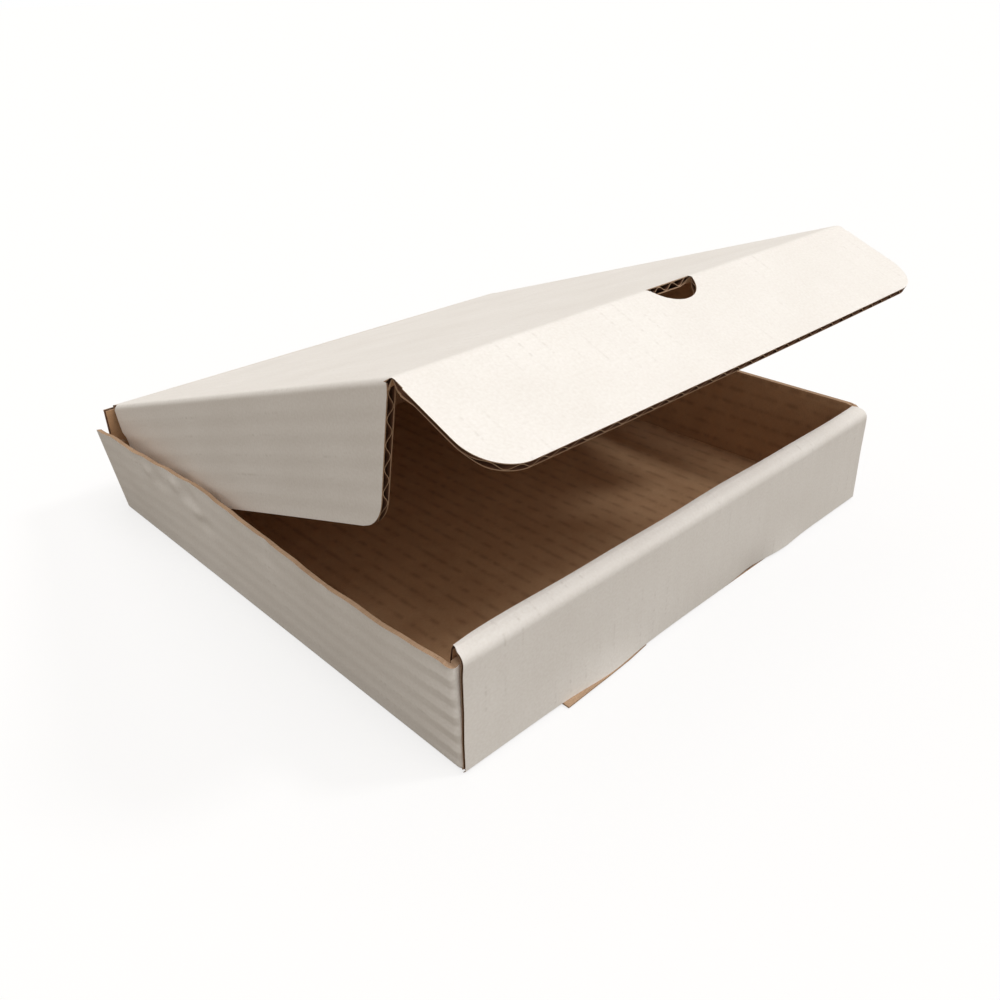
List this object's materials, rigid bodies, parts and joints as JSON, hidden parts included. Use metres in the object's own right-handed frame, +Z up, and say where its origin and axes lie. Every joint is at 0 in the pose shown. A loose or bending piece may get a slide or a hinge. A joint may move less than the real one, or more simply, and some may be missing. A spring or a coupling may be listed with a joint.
{
  "type": "pizza box",
  "caption": "Shallow square carry-out box folded from one sheet of corrugated board, with a double front wall, a hinged lid standing ajar and a tuck flap with a thumb hole.",
  "frame": {"origin": "middle of the underside of the base", "axes": "+Z up, +X to the right along the front wall, -Y out of the front wall"},
  "size_m": [0.2672, 0.2706, 0.1304],
  "materials": {
    "tray_board": "white-faced corrugated board, matt, kraft brown inside",
    "lid_board": "white-faced corrugated board, matt, kraft brown inside",
    "flap_board": "white-faced corrugated board, matt, kraft brown inside"
  },
  "bodies": {
    "tray": {"tray": "tray_board"},
    "lid": {"lid": "lid_board"},
    "front_flap": {"front_flap": "flap_board"}
  },
  "joints": [
    {"name": "lid_hinge", "type": "hinge", "parent": "tray", "child": "lid", "pos_m": [0, 0.1286, 0.0535], "axis": [-1, 0, 0], "range_deg": [-16, 161.5]},
    {"name": "front_flap_fold", "type": "hinge", "parent": "lid", "child": "front_flap", "pos_m": [0, -0.10089, 0.13029], "axis": [1, 0, 0], "range_deg": [-42.5, 49.5]}
  ]
}
